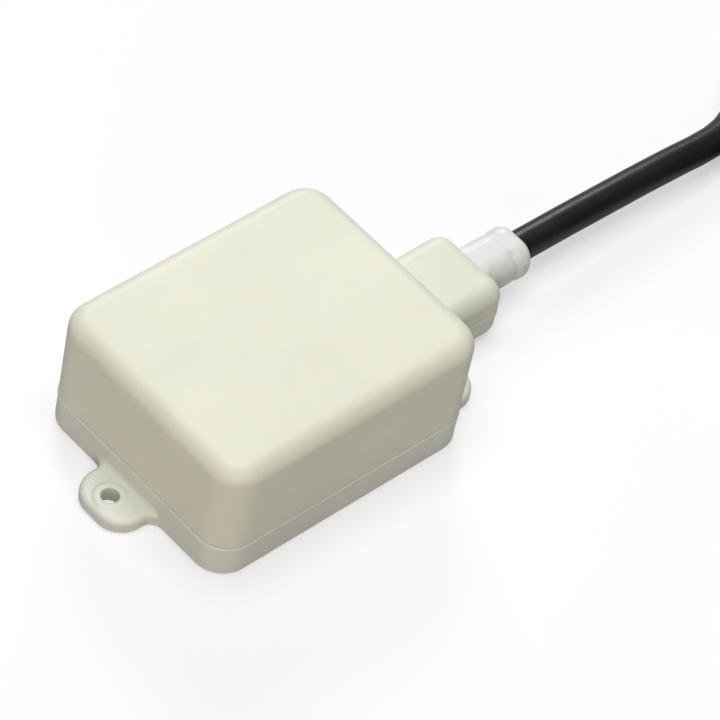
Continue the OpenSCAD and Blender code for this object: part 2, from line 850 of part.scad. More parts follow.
coil_tie();
cable_tail();
plug_body();
plug_insert();
plug_pins();
plug_seal();
coupling_nut();
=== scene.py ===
"""Visual model of a closed-face ultrasonic distance sensor on its lead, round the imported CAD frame."""

import json
import math

import bpy
import numpy as np
from mathutils import Matrix, Vector


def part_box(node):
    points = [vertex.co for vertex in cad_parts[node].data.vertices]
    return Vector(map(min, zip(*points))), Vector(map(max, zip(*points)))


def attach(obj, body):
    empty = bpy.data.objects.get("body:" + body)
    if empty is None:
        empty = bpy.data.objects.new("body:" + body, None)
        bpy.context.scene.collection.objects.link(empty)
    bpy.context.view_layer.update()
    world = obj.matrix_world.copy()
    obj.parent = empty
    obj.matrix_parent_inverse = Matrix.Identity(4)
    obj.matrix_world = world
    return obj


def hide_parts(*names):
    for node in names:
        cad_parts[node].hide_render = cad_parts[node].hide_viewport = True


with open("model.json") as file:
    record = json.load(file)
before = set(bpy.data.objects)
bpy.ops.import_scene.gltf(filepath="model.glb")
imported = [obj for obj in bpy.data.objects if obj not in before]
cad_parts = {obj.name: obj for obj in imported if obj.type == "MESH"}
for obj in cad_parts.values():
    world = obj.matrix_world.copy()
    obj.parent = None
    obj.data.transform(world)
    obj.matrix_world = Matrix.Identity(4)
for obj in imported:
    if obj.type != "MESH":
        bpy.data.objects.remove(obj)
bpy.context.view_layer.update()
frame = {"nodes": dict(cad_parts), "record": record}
MM = 0.001


def box_mm(node):
    """Lowest and highest corner of a CAD node, in millimetres."""
    low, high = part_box(node)
    return low / MM, high / MM


# ---------------------------------------------------------------- sizes, in millimetres
tray_high = box_mm("base_tray")[1]
cover_low, cover_high = box_mm("top_cover")
relief_low, relief_high = box_mm("strain_relief")
plug_low, plug_high = box_mm("plug_body")
coil_low, coil_high = box_mm("cable_coil")
mounts = {m["name"]: Vector(m["pos_m"]) / MM for m in frame["record"]["mounts"]}
ear_holes = [mounts["ear_hole_end"], mounts["ear_hole_cable"]]

# Housing. An edge is the radius of a round outer edge, a fillet the radius of an inner one,
# and a span is where something starts and ends along its axis.
HALF_LENGTH = -cover_low.x
HALF_WIDTH = cover_high.y
HEIGHT = cover_high.z
PARTING = tray_high.z
WALL = 2.2
CORNER = 6
TOP_EDGE = 3.6
BASE_EDGE = 1
SEAM_EDGE = 0.15
ROOM_EDGE = 0.4
CUT_EDGE = 0.15
FINE_EDGE = 0.1

# Rim of the tray, which leans out to a thin lip under the seam
SEAM_LIP = 0.14
LIP_EDGE = 0.42
LIP_DEPTH = 2.5
LIP_RISE = 2

# Cable outlet on the end of the housing, and the passage through it
OUTLET_START = 22
OUTLET_END = cover_high.x
OUTLET_HALF = 9.25
OUTLET_TOP = 13
OUTLET_EDGE = 3.45
OUTLET_WALL = 1.8
OUTLET_ROOF = 1.6
OUTLET_FILLET = 0.35
PASSAGE_CORNER = 1

# Mounting ears, each with a low ring round its hole
EAR_TOP = 3
EAR_RADIUS = 5.3
EAR_SPREAD = 1.6
EAR_REACH = 1.3
EAR_ROOT = 5
EAR_FLARE = 2.4
EAR_EDGES = (0.4, 1.2)
EAR_FILLET = 0.9
FILLET_WIDTH = 6
FILLET_FADE = 3
FILLET_ROOT = 3
FILLET_RISE = 2
RING_RADIUS = 3
RING_TOP = EAR_TOP + 0.4
RING_EDGES = (0.2, 0.38)
RING_FILLET = 0.5
HOLE_RADIUS = 1.7
HOLE_SPAN = (-2, 6)

# Under the sensing face: bosses for the cover's screws, and a seat with a thin membrane
# for each transducer. A place stands for its mirror images too.
FACE_INSIDE = HEIGHT - WALL
POST_TOP = FACE_INSIDE + 0.5
POST_FILLET = 0.4
BOSS = (23.5, 17.75)
BOSS_RADIUS = 3.2
BOSS_BORE = 1.3
BOSS_BORE_SPAN = (5, 18)
SEAT = (13, 0)
SEAT_RADIUS = 10.7
SEAT_FOOT = 17.4
SEAT_BORE = 9.5
SEAT_BORE_FOOT = 15
SEAT_CUT_EDGE = 0.2
MEMBRANE = 1.2
MEMBRANE_RADIUS = 8.1

# On the tray's floor: pillars with counterbored holes for the same screws, and board standoffs
PILLAR_RADIUS = 3.75
PILLAR_FOOT = 0.5
SCREW_HEAD_RADIUS = 2.9
SCREW_HEAD_SPAN = (-2, 3)
SCREW_RADIUS = 1.6
SCREW_SPAN = (1, 9)
STANDOFFS = ((-23, 9), (15, 17))
STANDOFF_RADIUS = 2.2
STANDOFF_SPAN = (0.5, 6)
STANDOFF_FILLET = 0.3
STANDOFF_BORE = 0.8
STANDOFF_BORE_SPAN = (2.7, 8)

# Lead and strain relief
CABLE_RADIUS = 3.1
CABLE_Z = (relief_low.z + relief_high.z) / 2
FLANGE_HALF = (6, 3.3)
FLANGE_CORNER = 2
FLANGE_DEPTH = 2
FLANGE_EDGE = 0.2
NECK_HALF = (4.2, 3.9)
NECK_CORNER = 1.5
NECK_START = 1.5
NECK_OVERLAP = 0.5
NECK_CUT = 3
NOSE_HALF = (5, 4.2)
NOSE_CORNER = 3.6
NOSE_ROOT = 1.3
NOSE_EDGES = (0.15, 1.9)
NOSE_FILLET = 0.2
NOSE_BORE_EDGE = 0.35

# A groove divides the nose from its swollen end collar, and a dimple lies in it on one side
COLLAR = 4.3
COLLAR_SWELL = 0.12
SWELL_LENGTH = 1.6
GROOVE_DEPTH = 0.2
GROOVE_WIDTH = 0.7
DIMPLE_DEPTH = 0.35
DIMPLE_SPREAD = 0.9
DIMPLE = (-3.1, 3.7)

# Grids for the mouldings, finest where edges are: a place, the step from there, the next place
HOUSING_X = (-39, 0.25, -29, 0.5, -18, 1.2, 8, 0.5, 28, 0.3, 39, 0.7, 47, 0.35, 53)
HOUSING_Y = (0, 0.25, 2.5, 0.6, 5.5, 0.45, 9.7, 0.25, 14.6, 0.5, 20.6, 0.35, 25.2)
COVER_Z = (6.4, 0.2, 7.8, 0.45, 12.9, 0.4, 14, 1.1, 17, 0.4, 18.6, 0.8, 23, 0.3, 27.6)
TRAY_Z = (-0.6, 0.2, 1.4, 0.3, 4.4, 0.4, 6.4, 0.2, 7.6)
RELIEF_X = (47.6, 0.25, 63.8)
RELIEF_Y = (0, 0.25, 6.6)
RELIEF_Z = (3, 0.25, 13)

# Lead's middle line, from its cut end inside the housing to where the coil starts
ROUTE = [
    (34, 0, 8), (42, 0, 8), (50, 0, 8), (58, 0, 8), (64, 0, 8), (70, 0, 7.9), (76, 0, 7.8),
    (82, 0, 7.6), (88, 0, 7.4), (94, 0, 7.2), (100, 0, 6.9), (106, 0, 6.5), (111.6, 0, 6),
    (116.6, 0.35, 5.4), (121.6, 1.4, 4.75), (126.6, 3.3, 4.2),
    (131.6, 6.05, 4), (136.6, 8.8, 3.9), (141.6, 10.7, 3.9), (146.6, 11.8, 3.9),
]

# Coil: the turns between which the lead steps in beside its first turn, up a layer, and out again
COIL_TURNS = 3.5
POINTS_PER_TURN = 60
STEP_IN = (0.76, 0.92)
STEP_UP = (1.58, 1.74)
STEP_OUT = (2.4, 2.56)

# Where the lead leaves the coil (back from its middle, and down), and its tail into the plug (x and z)
LEAVE = [(5, 0), (11, 0.15)]
TAIL = [(136.6, 9.6), (132.6, 8.8), (128.6, 7.9), (124.6, 7.4), (122.6, 7.3), (111.6, 7.3)]


# ---------------------------------------------------------------- distance fields
def rounded(u, v, half_u, half_v, radius):
    """Signed distance to a rectangle with round corners."""
    a = np.abs(u) - half_u + radius
    b = np.abs(v) - half_v + radius
    outside = np.hypot(np.maximum(a, 0), np.maximum(b, 0))
    return outside + np.minimum(np.maximum(a, b), 0) - radius


def slab(section, w, low, high, low_edge=0.0, high_edge=0.0):
    """Section stretched from low to high along w, with round edges."""
    middle = (low + high) / 2
    edge = np.where(w < middle, low_edge, high_edge)
    a = section + edge
    b = np.abs(w - middle) - (high - low) / 2 + edge
    outside = np.hypot(np.maximum(a, 0), np.maximum(b, 0))
    return outside + np.minimum(np.maximum(a, b), 0) - edge


def join(a, b, fillet=0.0):
    """Both shapes, with a round fillet where they meet."""
    inner = np.hypot(np.maximum(fillet - a, 0), np.maximum(fillet - b, 0))
    return np.maximum(fillet, np.minimum(a, b)) - inner


def carve(a, b, edge=0.0):
    """Shape a without shape b, with a round edge."""
    outer = np.hypot(np.maximum(a + edge, 0), np.maximum(edge - b, 0))
    return np.minimum(-edge, np.maximum(a, -b)) + outer


def eased(share):
    """Smooth step from 0 to 1 as a share, or each of an array of them, goes from 0 to 1."""
    t = np.clip(share, 0, 1)
    return t * t * (3 - 2 * t)


def ladder(*marks):
    """Grid lines: positions with the step between them, such as ladder(0, 0.5, 4)."""
    lines = [marks[0]]
    for start, step, end in zip(marks[0::2], marks[1::2], marks[2::2]):
        count = max(1, round((end - start) / step))
        lines.extend(start + (end - start) * (i + 1) / count for i in range(count))
    return np.array(lines, float)


def mirrored(lines):
    """Grid lines on both sides of zero, from those on the positive side."""
    return np.concatenate([-lines[::-1], lines[1:] if lines[0] == 0 else lines])


def slope(field, points, reach=0.01):
    """Gradient of a field at some points."""
    columns = []
    for axis in range(3):
        step = np.zeros(3)
        step[axis] = reach
        ahead = field(*(points + step).T)
        behind = field(*(points - step).T)
        columns.append((ahead - behind) / (2 * reach))
    return np.stack(columns, axis=1)


def settle(field, points):
    """Moves points onto the field's zero level and returns them with their normals."""
    rounds = 5
    least_steep = 0.05
    longest_step = 0.3
    for _ in range(rounds):
        steep = slope(field, points)
        size = np.maximum((steep**2).sum(1), least_steep)
        share = np.clip(field(*points.T) / size, -longest_step, longest_step)
        points = points - steep * share[:, None]
    steep = slope(field, points)
    return points, steep / np.maximum(np.linalg.norm(steep, axis=1), 1e-6)[:, None]


def along(axis, part):
    """Index that takes part of one axis and all of the other two."""
    return tuple(part if k == axis else slice(None) for k in range(3))


def spread_out(line, axis):
    """Line of numbers laid along one axis of a grid."""
    return line.reshape([-1 if k == axis else 1 for k in range(3)])


def crossings_along(values, lines, axis):
    """For the grid edges along an axis: which cross the zero level, which start inside it, and where."""
    low = values[along(axis, slice(0, -1))]
    high = values[along(axis, slice(1, None))]
    crossed = (low < 0) != (high < 0)
    share = np.where(crossed, low / np.where(crossed, low - high, 1), 0)
    at = [spread_out(line, k) for k, line in enumerate(lines)]
    start = at[axis][along(axis, slice(0, -1))]
    at[axis] = start + share * spread_out(np.diff(lines[axis]), axis)
    return crossed, low < 0, at


def cell_points(values, lines):
    """A point for each cell on the zero level, the point's number by cell, and the crossed edges."""
    cells = tuple(n - 1 for n in values.shape)
    total = np.zeros((*cells, 3))
    count = np.zeros(cells)
    crossings = []
    for axis in range(3):
        crossed, inside, at = crossings_along(values, lines, axis)
        u, v = (axis + 1) % 3, (axis + 2) % 3
        for du, dv in ((0, 0), (0, 1), (1, 0), (1, 1)):
            part = [slice(None)] * 3
            part[u] = slice(du, cells[u] + du)
            part[v] = slice(dv, cells[v] + dv)
            part = tuple(part)
            count += crossed[part]
            for k in range(3):
                total[..., k] += np.where(crossed, at[k], 0)[part]
        crossings.append((crossed, inside))
    active = count > 0
    number = np.full(cells, -1)
    number[active] = np.arange(active.sum())
    return total[active] / count[active][:, None], number, crossings


def quads_round(number, axis, crossed, inside):
    """Quads that join the four cells round each crossed edge along an axis, all facing out."""
    u, v = (axis + 1) % 3, (axis + 2) % 3
    found = np.argwhere(crossed)
    within_u = (found[:, u] > 0) & (found[:, u] < number.shape[u])
    within_v = (found[:, v] > 0) & (found[:, v] < number.shape[v])
    found = found[within_u & within_v]
    corners = []
    for du, dv in ((1, 1), (0, 1), (0, 0), (1, 0)):
        cell = found.copy()
        cell[:, u] -= du
        cell[:, v] -= dv
        corners.append(number[tuple(cell.T)])
    ring = np.stack(corners, axis=1)
    inward = ~inside[tuple(found.T)]
    ring[inward] = ring[inward][:, ::-1]
    return ring


def net(name, field, xs, ys, zs):
    """Closed mesh of quads on a field's zero level, in metres, from a grid with uneven steps."""
    lines = (xs, ys, zs)
    values = field(xs[:, None, None], ys[None, :, None], zs[None, None, :])
    values = np.broadcast_to(values, tuple(len(line) for line in lines))
    points, number, crossings = cell_points(values, lines)
    quads = [quads_round(number, axis, *found) for axis, found in enumerate(crossings)]
    points, normals = settle(field, points)
    return solid(name, points * MM, np.concatenate(quads), normals)


def solid(name, points, faces, normals=None):
    """Smooth object from points and faces."""
    mesh = bpy.data.meshes.new(name)
    mesh.from_pydata(np.asarray(points).tolist(), [], np.asarray(faces).tolist())
    mesh.shade_smooth()
    if normals is not None:
        mesh.normals_split_custom_set_from_vertices(normals.tolist())
    piece = bpy.data.objects.new(name, mesh)
    bpy.context.scene.collection.objects.link(piece)
    return piece


# ---------------------------------------------------------------- camera
def aim_camera():
    """Long lens from above the housing's near corner, rolled as a hand-held picture is."""
    target = Vector((25.86, 0.42, 0)) * MM
    azimuth, elevation, roll = (math.radians(a) for a in (-50.97, 47.81, 12.47))
    distance = 0.824
    back = Vector((
        math.sin(azimuth) * math.cos(elevation),
        -math.cos(azimuth) * math.cos(elevation),
        math.sin(elevation),
    ))
    level = Vector((math.cos(azimuth), math.sin(azimuth), 0))
    right = math.cos(roll) * level + math.sin(roll) * back.cross(level)
    up = back.cross(right)
    data = bpy.data.cameras.new("camera")
    data.sensor_width = 36
    data.lens = 225
    data.clip_start = 0.02
    data.clip_end = 50
    camera = bpy.data.objects.new("camera", data)
    basis = Matrix((right, up, back)).transposed().to_4x4()
    camera.matrix_world = Matrix.Translation(target + back * distance) @ basis
    bpy.context.scene.collection.objects.link(camera)
    bpy.context.scene.camera = camera


# ---------------------------------------------------------------- cord
def stepped(turn, span):
    """How much of a step is done at a turn, from 0 at the span's start to 1 at its end."""
    start, end = span
    return eased((turn - start) / (end - start))


def coil_points():
    """Turns that lie beside and on each other, from the entry round to the tail."""
    centre_x = (coil_low.x + coil_high.x) / 2
    centre_y = (coil_low.y + coil_high.y) / 2
    outer = (coil_high.x - coil_low.x) / 2 - CABLE_RADIUS
    lower = coil_low.z + CABLE_RADIUS
    upper = coil_high.z - CABLE_RADIUS
    points = []
    for i in range(int(COIL_TURNS * POINTS_PER_TURN) + 1):
        turn = i / POINTS_PER_TURN
        inward = stepped(turn, STEP_IN) - stepped(turn, STEP_OUT)
        radius = outer - 2 * CABLE_RADIUS * inward
        lift = stepped(turn, STEP_UP)
        angle = math.pi / 2 - 2 * math.pi * turn
        x = centre_x + radius * math.cos(angle)
        y = centre_y + radius * math.sin(angle)
        points.append((x, y, lower + (upper - lower) * lift))
    return points + [(centre_x - back, centre_y - outer, upper - down) for back, down in LEAVE]


def make_cord():
    """The whole lead as one curve, from inside the housing to inside the plug."""
    tail_y = (plug_low.y + plug_high.y) / 2
    points = ROUTE + coil_points() + [(x, tail_y, z) for x, z in TAIL]
    data = bpy.data.curves.new("cord", "CURVE")
    data.dimensions = "3D"
    data.bevel_depth = CABLE_RADIUS * MM
    data.bevel_resolution = 10
    data.use_fill_caps = True
    spline = data.splines.new("POLY")
    spline.points.add(len(points) - 1)
    for place, point in zip(spline.points, points):
        place.co = (*(c * MM for c in point), 1)
    spline.use_smooth = True
    cord = bpy.data.objects.new("cord", data)
    bpy.context.scene.collection.objects.link(cord)
    steps = zip(points, points[1:])
    length = sum(math.dist(a, b) for a, b in steps) * MM
    return cord, length


# ---------------------------------------------------------------- housing
def outline(x, y, inset=0.0):
    """Housing seen from above, drawn in by inset."""
    return rounded(x, y, HALF_LENGTH - inset, HALF_WIDTH - inset, CORNER - inset)


def outlet_outline(x, y):
    """Outlet block seen from above."""
    half = (OUTLET_END - OUTLET_START) / 2
    return rounded(x - OUTLET_START - half, y, half, OUTLET_HALF, OUTLET_EDGE)


def neck_outline(y, v):
    """Neck of the strain relief and the opening it sits in, seen along the lead."""
    return rounded(y, v, *NECK_HALF, NECK_CORNER)


def hollow(x, y, z):
    """Space inside housing and outlet, with the opening for the strain relief."""
    room = slab(outline(x, y, WALL), z, WALL, FACE_INSIDE, ROOM_EDGE, TOP_EDGE - WALL)
    start = OUTLET_START + WALL
    end = OUTLET_END - OUTLET_WALL
    half = OUTLET_HALF - OUTLET_WALL
    sides = rounded(x - (start + end) / 2, y, (end - start) / 2, half, PASSAGE_CORNER)
    passage = slab(sides, z, WALL, OUTLET_TOP - OUTLET_ROOF)
    opening = slab(neck_outline(y, z - CABLE_Z), x, end - NECK_CUT, OUTLET_END + NECK_CUT)
    return join(join(room, passage), opening)


def column(x, y, place, radius, z, low, high, edge=0.0):
    """Round post or hole at a place and its mirror images."""
    return slab(np.hypot(np.abs(x) - place[0], np.abs(y) - place[1]) - radius, z, low, high, edge, edge)


def cover_field(x, y, z):
    """Deep upper half: sensing face, walls, screw bosses and transducer seats."""
    shape = slab(outline(x, y), z, PARTING, HEIGHT, SEAM_EDGE, TOP_EDGE)
    outlet = slab(outlet_outline(x, y), z, PARTING, OUTLET_TOP, SEAM_EDGE, OUTLET_EDGE)
    shape = join(shape, outlet, OUTLET_FILLET)
    shape = carve(shape, hollow(x, y, z), CUT_EDGE)
    boss = column(x, y, BOSS, BOSS_RADIUS, z, PARTING, POST_TOP, FINE_EDGE)
    seat = column(x, y, SEAT, SEAT_RADIUS, z, SEAT_FOOT, POST_TOP, FINE_EDGE)
    seat_bore = column(x, y, SEAT, SEAT_BORE, z, SEAT_BORE_FOOT, FACE_INSIDE)
    thinned = column(x, y, SEAT, MEMBRANE_RADIUS, z, SEAT_BORE_FOOT, HEIGHT - MEMBRANE)
    boss_bore = column(x, y, BOSS, BOSS_BORE, z, *BOSS_BORE_SPAN)
    shape = join(join(shape, boss, POST_FILLET), seat, POST_FILLET)
    shape = carve(shape, seat_bore, SEAT_CUT_EDGE)
    shape = carve(shape, thinned, FINE_EDGE)
    shape = carve(shape, boss_bore, FINE_EDGE)
    return np.maximum(shape, PARTING - z)


def tray_shell(x, y, z):
    """Outside of the tray without its ears, with its rim leaning out to the lip."""
    lip = SEAM_LIP * eased((z - PARTING + LIP_DEPTH) / LIP_RISE)
    housing = slab(outline(x, y) - lip, z, 0, PARTING, BASE_EDGE, LIP_EDGE)
    outlet = slab(outlet_outline(x, y) - lip, z, 0, PARTING, OUTLET_EDGE, LIP_EDGE)
    return join(housing, outlet, OUTLET_FILLET)


def ear_outline(x, y, hole):
    """One mounting ear seen from above, round its screw hole."""
    u = math.copysign(1, hole.x) * x - HALF_LENGTH
    v = np.abs(y - hole.y)
    tip = abs(hole.x) - HALF_LENGTH - EAR_REACH
    shape = np.hypot(np.maximum(u - tip, 0), np.maximum(v - EAR_SPREAD, 0)) - EAR_RADIUS
    return np.maximum(shape, -u - EAR_ROOT)


def add_ear(shape, x, y, z, hole):
    """Shape with a flared ear on it, and a fillet above the ear that fades out beside and behind it."""
    flared = join(outline(x, y), ear_outline(x, y, hole), EAR_FLARE)
    past_wall = math.copysign(1, hole.x) * x - HALF_LENGTH
    rise = eased((past_wall + FILLET_ROOT) / FILLET_RISE)
    fade = eased((np.abs(y - hole.y) - FILLET_WIDTH) / FILLET_FADE)
    near = rise * (1 - fade)
    return join(shape, slab(flared, z, 0, EAR_TOP, *EAR_EDGES), EAR_FILLET * near)


def tray_field(x, y, z):
    """Shallow lower half: floor, ears, screw pillars and board standoffs."""
    shape = tray_shell(x, y, z)
    for hole in ear_holes:
        shape = add_ear(shape, x, y, z, hole)
    from_holes = [np.hypot(x - hole.x, y - hole.y) for hole in ear_holes]
    for distance in from_holes:
        shape = join(shape, slab(distance - RING_RADIUS, z, 0, RING_TOP, *RING_EDGES), RING_FILLET)
    shape = carve(shape, hollow(x, y, z), CUT_EDGE)
    for distance in from_holes:
        shape = carve(shape, slab(distance - HOLE_RADIUS, z, *HOLE_SPAN), CUT_EDGE)
    pillar = column(x, y, BOSS, PILLAR_RADIUS, z, PILLAR_FOOT, PARTING, FINE_EDGE)
    shape = join(shape, pillar, POST_FILLET)
    for place_x, place_y in STANDOFFS:
        distance = np.hypot(x - place_x, np.abs(y) - place_y)
        shape = join(shape, slab(distance - STANDOFF_RADIUS, z, *STANDOFF_SPAN), STANDOFF_FILLET)
        shape = carve(shape, slab(distance - STANDOFF_BORE, z, *STANDOFF_BORE_SPAN))
    shape = carve(shape, column(x, y, BOSS, SCREW_HEAD_RADIUS, z, *SCREW_HEAD_SPAN), CUT_EDGE)
    shape = carve(shape, column(x, y, BOSS, SCREW_RADIUS, z, *SCREW_SPAN), FINE_EDGE)
    return np.maximum(shape, np.maximum(-z, z - PARTING))


def nose_outline(x, y, v):
    """Strain relief's nose seen along the lead, with groove, dimple and collar."""
    past_groove = x - relief_high.x + COLLAR
    from_dimple = past_groove**2 + (y - DIMPLE[0]) ** 2 + (v - DIMPLE[1]) ** 2
    groove = GROOVE_DEPTH * np.exp(-((past_groove / GROOVE_WIDTH) ** 2))
    dimple = DIMPLE_DEPTH * np.exp(-from_dimple / DIMPLE_SPREAD)
    swell = COLLAR_SWELL * eased(past_groove / SWELL_LENGTH)
    return rounded(y, v, *NOSE_HALF, NOSE_CORNER) + groove + dimple - swell


def relief_field(x, y, z):
    """Strain relief: flange and neck in the wall, and a soft oval nose outside."""
    v = z - CABLE_Z
    start = relief_low.x
    flange = rounded(y, v, *FLANGE_HALF, FLANGE_CORNER)
    flange = slab(flange, x, start, start + FLANGE_DEPTH, FLANGE_EDGE, FLANGE_EDGE)
    neck = slab(neck_outline(y, v), x, start + NECK_START, OUTLET_END + NECK_OVERLAP)
    nose = slab(nose_outline(x, y, v), x, OUTLET_END - NOSE_ROOT, relief_high.x, *NOSE_EDGES)
    shape = join(join(flange, neck), nose, NOSE_FILLET)
    return carve(shape, np.hypot(y, v) - CABLE_RADIUS, NOSE_BORE_EDGE)


def make_housing():
    """The three outer mouldings."""
    xs = ladder(*HOUSING_X)
    ys = mirrored(ladder(*HOUSING_Y))
    cover = net("cover", cover_field, xs, ys, ladder(*COVER_Z))
    tray = net("tray", tray_field, xs, ys, ladder(*TRAY_Z))
    relief_ys = mirrored(ladder(*RELIEF_Y))
    relief = net("relief", relief_field, ladder(*RELIEF_X), relief_ys, ladder(*RELIEF_Z))
    return cover, tray, relief


# ---------------------------------------------------------------- materials
MICRON = 0.000001
NOISE_LOW = 0.3
NOISE_HIGH = 0.7
IVORY = (0.815, 0.81, 0.665)
# Tray colour: the same ivory shifted cooler, as painted cool bounce light on the lower half, not a
# different plastic
IVORY_PAINTED_COOL_BOUNCE = (0.8, 0.815, 0.735)
MILK = (0.82, 0.82, 0.80)
BLACK_SHEATH = (0.011, 0.011, 0.014)


def material(name):
    """New node material with its shader, nodes and a way to link them."""
    made = bpy.data.materials.new(name)
    made.use_nodes = True
    nodes = made.node_tree.nodes
    return made, nodes["Principled BSDF"], nodes, made.node_tree.links


def noise(nodes, links, scale, detail=4.0, roughness=0.55, stretch=None):
    """Noise in the part's own space; stretch scales its three axes."""
    place = nodes.new("ShaderNodeTexCoord").outputs["Object"]
    if stretch:
        mapping = nodes.new("ShaderNodeMapping")
        mapping.inputs["Scale"].default_value = stretch
        links.new(place, mapping.inputs["Vector"])
        place = mapping.outputs["Vector"]
    made = nodes.new("ShaderNodeTexNoise")
    made.inputs["Scale"].default_value = scale
    made.inputs["Detail"].default_value = detail
    made.inputs["Roughness"].default_value = roughness
    links.new(place, made.inputs["Vector"])
    return made.outputs["Fac"]


def ramp(nodes, links, value, low, high, start=NOISE_LOW, end=NOISE_HIGH):
    """Colour that goes from low to high as value goes from start to end."""
    made = nodes.new("ShaderNodeValToRGB")
    made.color_ramp.elements[0].position = start
    made.color_ramp.elements[1].position = end
    made.color_ramp.elements[0].color = (*low, 1)
    made.color_ramp.elements[1].color = (*high, 1)
    links.new(value, made.inputs["Fac"])
    return made.outputs["Color"]


def spread(nodes, links, value, low, high):
    """Noise's usual range stretched to low..high."""
    made = nodes.new("ShaderNodeMapRange")
    made.inputs["From Min"].default_value = NOISE_LOW
    made.inputs["From Max"].default_value = NOISE_HIGH
    made.inputs["To Min"].default_value = low
    made.inputs["To Max"].default_value = high
    links.new(value, made.inputs["Value"])
    return made.outputs["Result"]


def bump(nodes, links, height, microns, under=None):
    """Normal raised by a height of some thousandths of a millimetre."""
    made = nodes.new("ShaderNodeBump")
    made.inputs["Distance"].default_value = microns * MICRON
    made.inputs["Strength"].default_value = 1
    links.new(height, made.inputs["Height"])
    if under:
        links.new(under, made.inputs["Normal"])
    return made.outputs["Normal"]


def shade(colour, factor):
    """Colour times a factor, kept within 0 and 1."""
    return tuple(min(1.0, c * factor) for c in colour)


def moulded(name, colour, rough=(0.34, 0.44), grain=900, depth=12, mottle=0.03, soft=0.0):
    """Moulded plastic: faint flow mottling, fine spark texture and slow surface waves."""
    made, shader, nodes, links = material(name)
    flow = noise(nodes, links, 45, detail=3, roughness=0.5, stretch=(1, 1.6, 2.2))
    mottled = ramp(nodes, links, flow, shade(colour, 1 - mottle), shade(colour, 1 + mottle))
    sheen = spread(nodes, links, noise(nodes, links, 160, detail=5), *rough)
    waves = bump(nodes, links, noise(nodes, links, 70, detail=2), 60)
    spark = bump(nodes, links, noise(nodes, links, grain, detail=3), depth, under=waves)
    links.new(mottled, shader.inputs["Base Color"])
    links.new(sheen, shader.inputs["Roughness"])
    links.new(spark, shader.inputs["Normal"])
    if soft:
        shader.inputs["Subsurface Weight"].default_value = soft
        shader.inputs["Subsurface Radius"].default_value = (1.0, 0.9, 0.6)
        shader.inputs["Subsurface Scale"].default_value = 0.0015
    return made


def sheath(name, colour):
    """Extruded cable jacket: lengthwise die lines, scuffs and a soft gloss."""
    made, shader, nodes, links = material(name)
    scuffs = noise(nodes, links, 120, detail=6, roughness=0.65)
    scuffed = ramp(nodes, links, scuffs, colour, shade(colour, 1.7), start=0.35, end=0.8)
    gloss = spread(nodes, links, noise(nodes, links, 260, detail=4), 0.32, 0.42)
    lengthwise = noise(nodes, links, 40, detail=3, roughness=0.5, stretch=(1, 30, 30))
    lines = bump(nodes, links, lengthwise, 20)
    skin = bump(nodes, links, noise(nodes, links, 1500, detail=2), 10, under=lines)
    links.new(scuffed, shader.inputs["Base Color"])
    links.new(gloss, shader.inputs["Roughness"])
    links.new(skin, shader.inputs["Normal"])
    shader.inputs["Specular IOR Level"].default_value = 0.35
    return made


def metal(name, colour, rough=(0.2, 0.34), stretch=(1, 1, 1)):
    """Plated or machined metal with fine scratches and a little tarnish."""
    made, shader, nodes, links = material(name)
    tarnish = noise(nodes, links, 220, detail=5)
    tarnished = ramp(nodes, links, tarnish, shade(colour, 0.86), shade(colour, 1.06))
    scratches = noise(nodes, links, 500, detail=4, roughness=0.6, stretch=stretch)
    links.new(tarnished, shader.inputs["Base Color"])
    links.new(spread(nodes, links, scratches, *rough), shader.inputs["Roughness"])
    links.new(bump(nodes, links, scratches, 8), shader.inputs["Normal"])
    shader.inputs["Metallic"].default_value = 1
    return made


def outside_looks():
    """Materials of what shows on the sensor and its lead, by short name."""
    return {
        "housing": moulded("housing_ivory", IVORY, (0.43, 0.53), soft=0.15),
        # The tray's cooler tint is painted cool bounce light on the same ivory plastic as the cover
        "tray": moulded("housing_ivory_painted_cool_bounce", IVORY_PAINTED_COOL_BOUNCE, (0.43, 0.53), soft=0.15),
        "relief": moulded("relief_milk", MILK, (0.38, 0.48), soft=0.12),
        "sheath": sheath("sheath_black", BLACK_SHEATH),
        "grip": moulded("grip_black", (0.016, 0.016, 0.017), (0.5, 0.62), 700, 30, 0.1),
        "insert": moulded("insert_black", (0.02, 0.02, 0.022), (0.35, 0.45), mottle=0.1),
        "nickel": metal("nickel", (0.72, 0.70, 0.66), stretch=(8, 1, 1)),
        "gold": metal("gold", (0.83, 0.62, 0.24), (0.18, 0.28)),
        "seal": moulded("seal_green", (0.02, 0.13, 0.045), (0.42, 0.55), 600, 20, 0.1),
        "nylon": moulded("nylon", (0.76, 0.74, 0.66), (0.36, 0.5), soft=0.1),
    }


